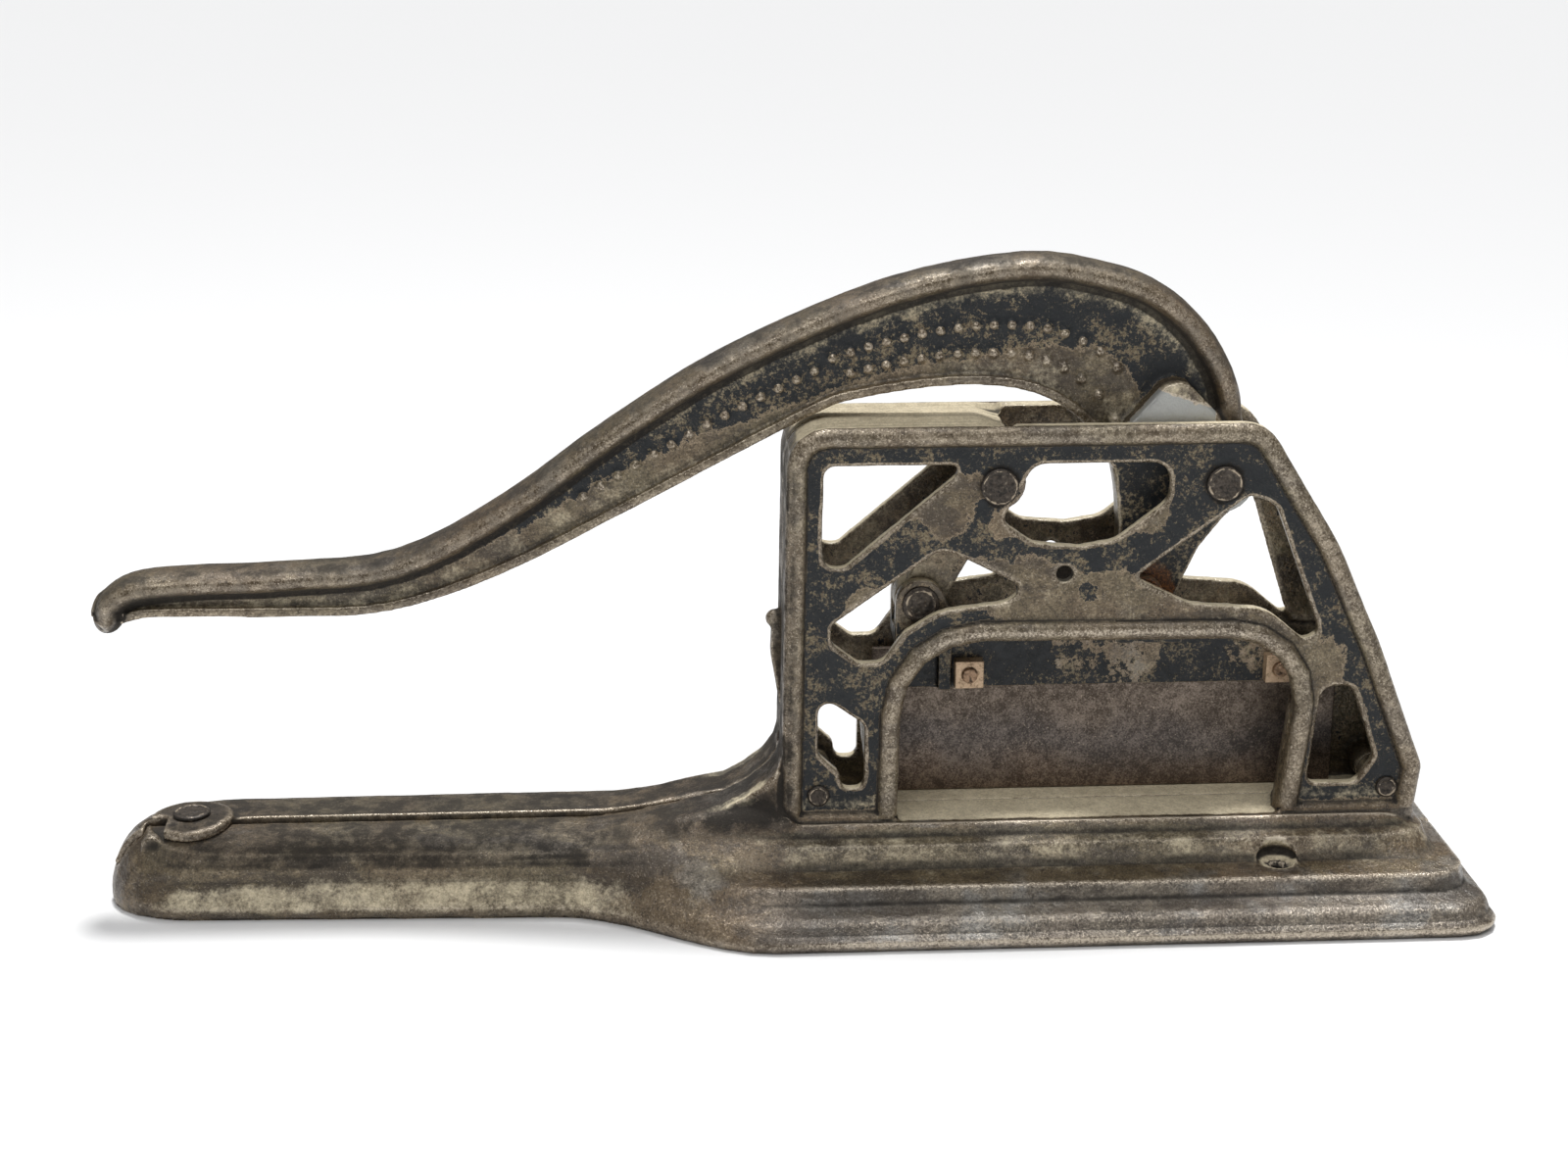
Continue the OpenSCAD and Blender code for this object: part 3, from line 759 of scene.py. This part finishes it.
def cast_iron(name, grain_depth):
    """Bare cast iron with what is left of its paint, dust in its hollows, worn edges, painted
    shade in its creases and hollows, and painted highlights and glints on its edges and crests.
    Marks on the mesh: paint, dust, rust, dirt with painted shade, wear with painted highlights,
    khaki, edge and swell."""
    s = Shader(name)
    g = iron_grains(s)
    dust = dusting(s, g)
    powder = s.mix(s.step(g.tone, 0.48, 0.74), POWDER_MID, POWDER)
    paint, lip = paint_cover(s, g)
    color = s.mix(s.times(lip, 0.7), bare_iron(s, g), BARE_LIGHT)
    color = s.mix(s.times(dust, 0.85), color, powder)
    color = s.mix(paint, color, paint_film(s, g, dust, powder))

    # Rust bleeds from joints, and painted shade and dirt darken the creases
    rust = s.step(s.plus(s.mark("rust"), s.spread(g.small, 1.1)), 0.35, 0.75)
    rusty = s.mix(s.step(g.fine, 0.42, 0.62), RUST_DARK, RUST)
    color = s.mix(s.times(rust, 0.8), color, rusty)
    patchy = s.step(s.plus(g.medium, s.times(g.fine, 0.5)), 0.55, 0.95, 0.45, 1.5)
    dirt_and_shade = s.times(s.mark("dirt_and_shade"), patchy)
    crease_shade_and_dirt = s.step(s.plus(s.times(s.mark("edge"), -1.5), dirt_and_shade), 0.04, 0.30)
    color = s.mix(s.times(crease_shade_and_dirt, 0.88), color, SOOT_AND_SHADE)

    # Edges that hands and use have rubbed, bright where the metal shows, with painted highlights
    # along edges, ridges and crests
    rub_and_highlight = s.plus(s.step(s.mark("edge"), 0.05, 0.24), s.mark("wear_and_highlight"), s.spread(g.fine, 1.5))
    rub_and_highlight = s.step(rub_and_highlight, 0.45, 1.0)
    color = s.mix(s.times(rub_and_highlight, 0.8), color, BRIGHT_WEAR_AND_HIGHLIGHT)
    polished = s.mix(s.step(g.tone, 0.5, 0.7), COOL, SILVER)
    color = s.mix(s.step(s.mark("wear_and_highlight"), 0.9, 1.0), color, polished)

    metal = s.blend(paint, s.blend(dust, 0.35, 0.05), 0.0)
    sheen = s.step(g.small, 0.35, 0.65, 0.42, 0.62)
    rough = s.blend(paint, s.step(g.tone, 0.50, 0.72, 0.48, 0.25), sheen)
    rough = s.blend(dust, rough, 0.9)
    bare_crest = s.times(g.crest, s.plus(s.times(paint, -1.0), 1.0))
    rough = s.blend(bare_crest, rough, 0.22)
    rough = s.blend(rub_and_highlight, rough, 0.28)
    rough = s.blend(crease_shade_and_dirt, rough, 0.85)

    height = s.weighted((g.pebble, 0.55), (g.fine, 0.5), (g.tiny, 0.1))
    height = s.times(height, s.blend(paint, s.blend(g.crest, 1.0, 0.7), 0.4))
    normal = s.bump(height, grain_depth)
    normal = s.bump(paint, 0.16, normal)
    normal = s.bump(g.medium, 0.5, normal)
    return s.done(color, rough, metal, normal, s.blend(paint, 0.7, 0.4))


def worn_metal(name, colours, metal):
    """Brown metal that has been handled: mottled, with dirt and painted shade in its creases, and
    edges made bright by wear and painted highlights.
    Marks on the mesh: wear with painted highlights, dirt with painted shade, and edge."""
    dark, mid, light = colours
    s = Shader(name)
    small = s.grain(2.4, 4, 0.65)
    tone = s.weighted((s.grain(0.7, 4, 0.7), 0.55), (small, 0.45))
    color = s.mix(s.step(tone, 0.36, 0.52), dark, mid)
    color = s.mix(s.step(tone, 0.54, 0.72), color, light)
    # Painted shade and dirt darken the creases
    crease_shade_and_dirt = s.step(s.plus(s.times(s.mark("edge"), -1.0), s.mark("dirt_and_shade")), 0.03, 0.16)
    color = s.mix(s.times(crease_shade_and_dirt, 0.85), color, SOOT_AND_SHADE)
    # Edges lightened by wear and painted highlights
    rub_and_highlight = s.plus(s.step(s.mark("edge"), 0.03, 0.14), s.mark("wear_and_highlight"), s.spread(small, 1.2))
    rub_and_highlight = s.step(rub_and_highlight, 0.4, 0.9)
    brighter = tuple(min(1.0, 1.6 * c) for c in light)
    color = s.mix(s.times(rub_and_highlight, 0.75), color, brighter)
    rough = s.blend(rub_and_highlight, s.step(tone, 0.35, 0.7, 0.6, 0.34), 0.3)
    return s.done(color, rough, metal, s.bump(tone, 0.05))


def blade_metal():
    """Browned steel plate: fine speckle, bluish across the middle and redder at the edge."""
    s = Shader("browned_steel")
    parts = s.add("ShaderNodeSeparateXYZ")
    s.put(parts.inputs[0], s.place)
    tone = s.weighted((s.grain(0.6, 3, 0.7), 0.5), (s.grain(3, 5, 0.6), 0.3),
                  (s.grain(14, 4, 0.6), 0.2))
    brown = s.mix(s.step(tone, 0.40, 0.64), *BLADE_BROWN)
    blue = s.mix(s.step(tone, 0.42, 0.64), *BLADE_BLUE)
    red = s.mix(s.step(tone, 0.42, 0.62), *BLADE_RED)
    height = s.plus(parts.outputs["Z"], s.spread(s.grain(30, 3, 0.5), 26 * MM))
    color = s.mix(s.step(height, (BED + 30) * MM, (BED + 18) * MM), brown, blue)
    color = s.mix(s.step(height, (BED + 17) * MM, (BED + 3) * MM), color, red)
    speckle = s.step(s.grain(0.9, 2, 0.6), 0.64, 0.70)
    color = s.mix(s.times(speckle, 0.6), color, BLADE_SPECKLE)
    # Edges lightened by wear and a painted highlight
    rub_and_highlight = s.step(s.mark("edge"), 0.04, 0.2)
    color = s.mix(s.times(rub_and_highlight, 0.6), color, BRIGHT_WEAR_AND_HIGHLIGHT)
    streaks = s.grain(1.2, 4, 0.6, (0.15, 1, 1))
    rough = s.step(tone, 0.35, 0.7, 0.52, 0.36)
    return s.done(color, rough, 0.65, s.bump(s.plus(tone, s.times(streaks, 0.4)), 0.05))


# ---- marks for the materials -------------------------------------------------------

# Places on a side plate where the paint is gone (+) or holds (-): x, z, radius, amount
PLATE_WEAR = [
    (47, 131, 10, 1), (56, 139, 6, 0.8), (22, 101, 7, 0.9), (66, 127, 6, 0.9), (60, 108, 9, 1),
    (75, 103, 15, 1), (98, 101, 14, 1), (122, 95, 16, 1), (146, 93, 14, 1), (165, 76, 15, 1),
    (176, 60, 11, 0.9), (112, 129, 7, 0.9), (160, 45, 8, 0.5), (96, 119, 9, -0.9),
    (92.5, 104, 3.5, -1.1), (14, 60, 12, -0.3), (135, 139, 14, -0.4), (165, 120, 14, -0.3)]
# Bare and dusty places on the blade carrier and the link: x, z, radius, amount
CARRIER_WEAR = [(92, 79, 11, 0.7), (112, 76, 12, 0.8), (152, 80, 13, 0.7), (60, 84, 6, 0.5),
                (40.7, 98.5, 11, 1.2), (111.7, 98.5, 11, 0.8)]

# How much of each mark the places on a side casting take
SIDE_DUST = {"bed": 1, "sweep": 0.15, "roof": 1, "sill": 0.8, "plate_foot": 0.6, "within": 0.3,
             "flank": 0.55, "chipped": 0.25, "shoulder": 0.38, "dish": 0.5}
SIDE_RUST = {"within": 0.3, "lever_eye": 0.3}
# Dirt, and painted shade in the pin rings, coves, under the flashing line, on the beads' slopes,
# in the screw hole and in and behind the oil hole
SIDE_DIRT_AND_SHADE = {"pin_rings": 0.35, "coves": 0.17, "under_flashing": 0.12, "grime_and_shade": 1,
             "tail_top": 0.22, "sweep": 0.23, "within": 0.05, "bead_slope": 0.16,
             "slot_lip": 0.1, "left_bead": 0.18, "screw_hole": 0.8}
# Wear, and painted highlights, on the moulding ridges, the flashing line, the bead crowns and the
# lowest edges
SIDE_WEAR_AND_HIGHLIGHT = {"ridges": 0.55, "flashing": 0.8, "beads": 0.3, "toe": 0.45, "throat_bead": 0.3,
             "tail_toe": 0.38}
# Below 0 the khaki mark turns bare iron greyer: the painted sheen on the base
SIDE_KHAKI = {"upright": 0.8, "tail": 0.5, "base": -0.28, "shoulder": 0.7}

# Along the lever, how far down its web the paint holds, and how dusty its upper part is
PAINT_REACH = [(-215, -2), (-160, 0), (-110, 1), (-60, 6), (0, 17), (60, 22), (100, 18), (140, 30)]
UPPER_DUST = [(-160, 0.1), (-60, 0.3), (20, 0.5), (120, 0.5)]


def spots(co, places):
    """Sum of round patches, each full up to half its radius and gone a little beyond it."""
    total = np.zeros(len(co))
    for x, z, radius, amount in places:
        away = np.hypot(co[:, 0] - x * MM, co[:, 2] - z * MM) / (radius * MM)
        total += amount * fade(away, 0.5, 1.3)
    return total


def frame_places(co, up):
    """Where the places on and in a side casting's upright frame are, from 0 to 1 per point."""
    x, y, z, front = in_mm(co)
    flat = ramp(up[:, 2], 0.45, 0.9)
    panel = ramp(np.abs(up[:, 1]), 0.75, 0.95) * ramp(z, 29, 34) * near(y, PLATE, 0.35, 0.7)
    within = ramp(z, BED + 3, BED + 10) * fade(y, PLATE - 1.5, PLATE - 0.5)
    within *= ramp(x, -4, -1) * fade(z, TOP - 3, TOP - 1)
    along = ramp(x, -6, 0) * fade(x, 208, 212)
    roof = flat * ramp(z, TOP - 9, TOP - 2) * fade(y, PLATE - 3, PLATE - 1)
    sill = flat * ramp(y, PLATE - 5, PLATE - 4) * fade(y, PLATE, PLATE + 0.6)
    crown = ramp(y - PLATE, 0.78 * BEAD_H, BEAD_H) * ramp(z, BED + 1, BED + 3)
    slope = ramp(y - PLATE, 0.05 * BEAD_H, 0.2 * BEAD_H)
    slope *= fade(y - PLATE, 0.5 * BEAD_H, 0.75 * BEAD_H) * ramp(z, BED + 1, BED + 3)
    wear = np.clip(spots(co, PLATE_WEAR), -1, 1)
    # Painted shade and dirt in a ring round each pin head
    rings = around(co, LEVER_PIN, 6.4, 7.4) + around(co, LINK_PIN, 6.4, 7.4)
    # Dirt and painted shade in the oil hole, and painted shade on the rear plate behind it
    hole = np.hypot(x - OIL_HOLE.x / MM, z - OIL_HOLE.z / MM + 8 * ~front)
    grime_and_shade = fade(hole, 5, 9) * ~front + fade(hole, 2.4, 3.2)
    return {
        "paint": panel * (0.95 - 0.82 * wear) + 0.35 * within * (1 - flat),
        "within": within,
        "roof": roof,
        "slot_lip": ridge(x, SLOT, 4) * roof,
        "sill": sill * ramp(z, BED + 3, BED + 6),
        "plate_foot": panel * fade(z, 31, 42),
        "chipped": np.clip(wear, 0, 1) * panel,
        "pin_rings": rings * panel,
        "lever_eye": around(co, LEVER_EYE, 9, 18) * within,
        "grime_and_shade": grime_and_shade * fade(y, PLATE - 1.2, PLATE - 0.4),
        # Wear and painted highlights on the beads' crowns, and painted shade on their slopes
        "beads": crown * along,
        "bead_slope": slope * along,
        "left_bead": crown * fade(x, 7, 9),
        "throat_bead": crown * ramp(x, 30, 50) * fade(x, 145, 165) * fade(z, 94, 98),
        # Wear and a painted highlight on the flashing line, and a painted shade band under it
        "flashing": ridge(y, PLATE_FOOT, 0.6) * near(z, BED, 0.8, 1.6) * along,
        "under_flashing": near(z, BED - 2.2, 0.7, 1.5) * ramp(y, 20, 22) * along,
        "upright": ramp(z, BED + 1, BED + 4) * ramp(x, -6, 0) * (1 - 0.6 * panel),
    }


def base_places(co, up):
    """Where the places on a side casting's base and tail are, from 0 to 1 per point."""
    x, y, z, _ = in_mm(co)
    bed = near(z, BED, 1, 4) * ramp(x, -45, -20) * ramp(up[:, 2], 0.45, 0.9)
    tail = fade(x, -70, -20)
    moulding = profile(MOULDING, z) * ramp(y, 20, 22) * ramp(x, -30, 10)
    moulding += 0.5 * profile(TAIL_MOULDING, z) * tail * ramp(y, 18, 20)
    shoulder = ramp(y, 19.5, 21) * ramp(z, 15, 18) * fade(z, BED - 1.5, BED - 0.5)
    screw = np.hypot(x - SCREW_HOLE.x / MM, y - SCREW_HOLE.y / MM)
    screw_hole = fade(screw, 2.6, 3.4)
    return {
        "bed": bed * (0.15 * fade(y, 21, 25) + 0.85 * fade(y, 16, 18.5)),
        "sweep": ramp(x, -62, -30) * fade(x, -4, 2) * ramp(z, 22, 29),
        "shoulder": shoulder * ramp(x, -40, 0),
        # Wear and painted highlights on the moulding ridges, and painted shade in the coves
        "ridges": np.clip(moulding, 0, 1),
        "coves": np.clip(-moulding, 0, 1),
        # Wear and a painted highlight on the base's lowest edge
        "toe": ramp(y, 52, 55) * ramp(x, -10, 20),
        "base": fade(z, BED - 6, BED - 2) * ramp(x, -25, 0),
        # Painted shade: the screw hole is darkened inside
        "screw_hole": screw_hole,
        "dish": fade(screw, 5.2, 6.2) - screw_hole,
        "tail": tail,
        "tail_top": tail * ramp(z, 15, 18) * ramp(x, -212, -204),
        # Wear and a painted highlight on the tail's lowest edge
        "tail_toe": tail * ramp(y, 24, 26) * fade(z, 5, 9),
        "flank": tail * ramp(y, 19, 22) * ramp(z, 0.5, 5) * fade(z, 9, 19),
    }


def side_marks(mesh):
    co, up = points_of(mesh), normals_of(mesh)
    places = {**frame_places(co, up), **base_places(co, up)}
    mark(mesh, "paint", np.clip(places["paint"], 0, 1.2))
    mark(mesh, "dust", np.clip(mixed(places, SIDE_DUST), 0, 1))
    mark(mesh, "rust", mixed(places, SIDE_RUST))
    mark(mesh, "dirt_and_shade", mixed(places, SIDE_DIRT_AND_SHADE))
    mark(mesh, "wear_and_highlight", mixed(places, SIDE_WEAR_AND_HIGHLIGHT))
    mark(mesh, "khaki", mixed(places, SIDE_KHAKI))


def lever_marks(mesh):
    co = points_of(mesh)
    x, y, z, _ = in_mm(co)
    depth, _ = below_top(co)
    flange = fade(depth, 7.4, 8.4)
    web = fade(y, 4.2, 4.6) * ramp(depth, 7.4, 8.4)
    domes = ramp(y, 3.25, 3.7) * web
    arm = fade(z, TOP - 10, TOP) * near(y, 4.5, 0.6, 1.2) * ramp(x, 90, 98)
    # The raised pad on the hub, and the facet that the thumb has polished on it
    pad = ramp(y, 7, 8) * ramp(depth, 9, 10)
    above_pin = z - LEVER_PIN.z / MM + 0.35 * (x - LEVER_PIN.x / MM)
    facet = pad * fade(above_pin, 21, 24)

    below = depth - 8
    reach = profile(PAINT_REACH, x)
    hold = np.clip(0.5 + (reach - below) / 7, 0, 0.95)
    mark(mesh, "paint", np.clip(web * hold * (1 - 0.5 * domes) + 0.95 * arm, 0, 1))
    dust = profile(UPPER_DUST, x) * fade(below, 1, 12) + 0.35 * ramp(below - reach, -3, 6)
    mark(mesh, "dust", web * dust + 0.2 * arm + 0.45 * pad)
    by_eye = around(co, LEVER_EYE, 8, 17)
    mark(mesh, "rust", 0.95 * by_eye + 0.27 * flange * ramp(x, -170, -90))
    # Painted shade: a dark line in the groove under the flange, and the whole flange darkened
    under = near(depth, 8.7, 0.5, 1.7) * fade(y, 5.5, 7.5)
    mark(mesh, "dirt_and_shade", 0.6 * under * (1 - pad) + 0.19 * flange)
    mark(mesh, "khaki", 0.6 - 0.35 * flange)
    mark(mesh, "wear_and_highlight", 1.1 * facet + 0.4 * domes)


def linkage_marks(paint, dust, rust):
    def marks(mesh):
        co, up = points_of(mesh), normals_of(mesh)
        wear = np.clip(spots(co, CARRIER_WEAR), 0, 1)
        mark(mesh, "paint", np.clip(paint - 0.5 * wear, 0, 1))
        mark(mesh, "dust", dust + 0.5 * ramp(up[:, 2], 0.4, 0.9) + 0.15 * wear)
        mark(mesh, "rust", rust * around(co, LEVER_EYE, 8, 16))
    return marks


# ---- camera, light and floor -------------------------------------------------------

LENS = 56.25
CAMERA_PLACE = (-0.04442, -0.74983, 0.33864)
CAMERA_TURN = (math.radians(72.5), 0, math.radians(-3.2))
SKY_COLOUR = (0.97, 0.98, 1, 1)
SKY_DIM, SKY_BRIGHT = 0.10, 0.45
SUN_POWER = 2.6
SUN_WIDTH = math.radians(8)
SUN_TURN = (math.radians(-13.5), math.radians(4), 0)
# Soft lamps: place, width and depth, and power
LAMPS = {"overhead": ((0.05, 0.05, 1.0), (1.4, 0.2), 2.5),
         "front_high": ((-0.2, -0.8, 1.2), (1.2, 0.3), 6)}
LAMPS_AIM = Vector((0, 0, 0.08))
FLOOR_GREY = (0.8, 0.8, 0.8, 1)


def placed(name, data, place=(0, 0, 0), turn=(0, 0, 0)):
    obj = linked(name, data)
    obj.location = place
    obj.rotation_euler = turn
    return obj


def camera():
    data = bpy.data.cameras.new("camera")
    data.lens = LENS
    data.sensor_width = 36
    SCENE.camera = placed("camera", data, CAMERA_PLACE, CAMERA_TURN)


def sky():
    """Sky that is bright overhead and dim towards the horizon."""
    SCENE.view_settings.view_transform = "Standard"
    world = bpy.data.worlds.new("studio")
    SCENE.world = world
    world.use_nodes = True
    tree = world.node_tree
    place = tree.nodes.new("ShaderNodeTexCoord")
    parts = tree.nodes.new("ShaderNodeSeparateXYZ")
    rise = tree.nodes.new("ShaderNodeMapRange")
    rise.inputs["From Min"].default_value = 0.1
    rise.inputs["From Max"].default_value = 0.9
    rise.inputs["To Min"].default_value = SKY_DIM
    rise.inputs["To Max"].default_value = SKY_BRIGHT
    background = tree.nodes["Background"]
    background.inputs["Color"].default_value = SKY_COLOUR
    tree.links.new(place.outputs["Generated"], parts.inputs[0])
    tree.links.new(parts.outputs["Z"], rise.inputs["Value"])
    tree.links.new(rise.outputs["Result"], background.inputs["Strength"])


def lights():
    sun = bpy.data.lights.new("high_sun", "SUN")
    sun.energy = SUN_POWER
    sun.angle = SUN_WIDTH
    placed("high_sun", sun, turn=SUN_TURN)
    for name, (place, size, power) in LAMPS.items():
        light = bpy.data.lights.new(name, "AREA")
        light.shape = "RECTANGLE"
        light.size, light.size_y = size
        light.energy = power
        aim = (LAMPS_AIM - Vector(place)).to_track_quat("-Z", "Y").to_euler()
        placed(name, light, place, aim)


def floor():
    bm = bmesh.new()
    bmesh.ops.create_grid(bm, x_segments=1, y_segments=1, size=30)
    mesh = mesh_from("floor", bm)
    pale = bpy.data.materials.new("pale_floor")
    pale.use_nodes = True
    shader = pale.node_tree.nodes["Principled BSDF"]
    shader.inputs["Base Color"].default_value = FLOOR_GREY
    shader.inputs["Roughness"].default_value = 0.9
    mesh.materials.append(pale)
    linked("floor", mesh)


camera()
sky()
lights()
floor()

# ---- the pieces --------------------------------------------------------------------

side_iron = cast_iron("side_iron", grain_depth=0.5)
lever_iron = cast_iron("lever_iron", grain_depth=0.26)
linkage_iron = cast_iron("linkage_iron", grain_depth=0.2)
rivet_iron = worn_metal("rivet_iron", RIVET_BROWN, metal=0.4)
screw_steel = worn_metal("screw_steel", SCREW_BROWN, metal=0.7)
nut_copper = worn_metal("nut_copper", NUT_COPPER, metal=0.4)
blade_steel = blade_metal()

for node in ("front_casting", "rear_casting"):
    casting(node, node + "_iron", side_iron, "japanned_iron", voxel=0.8, rounds=3, keep=0.45,
            shape=sculpt_side(plate_face(node)), looks=side_marks)
casting("lever", "lever_iron", lever_iron, "lever_iron", voxel=0.7, rounds=4, keep=0.7,
        shape=round_flange, looks=lever_marks, extra=[*dome_rows(), handle_end()])
casting("blade_carrier", "carrier_iron", linkage_iron, "japanned_iron", voxel=0.5, rounds=3,
        keep=0.6, looks=linkage_marks(paint=0.85, dust=0.12, rust=0.7))
casting("swing_link", "link_iron", linkage_iron, "japanned_iron", voxel=0.5, rounds=4,
        keep=0.6, looks=linkage_marks(paint=0.4, dust=0.3, rust=0))
casting("blade", "blade_plate", blade_steel, "blade_steel", voxel=0.5, rounds=2, keep=0.35,
        wave=0.03)

for node, head in RIVETS.items():
    riveted(node, node + "_head", rivet_iron, "rivet_iron", head, voxel=0.3, wave=0.05)
for side in ("left", "right"):
    riveted(side + "_blade_screw", side + "_screw_steel", screw_steel, "screw_steel", SCREW_HEAD,
            voxel=0.25, wave=0.03)
    casting(side + "_square_nut", side + "_nut_copper", nut_copper, "nut_copper_brown",
            voxel=0.25, rounds=3, keep=0.6, wave=0.05)
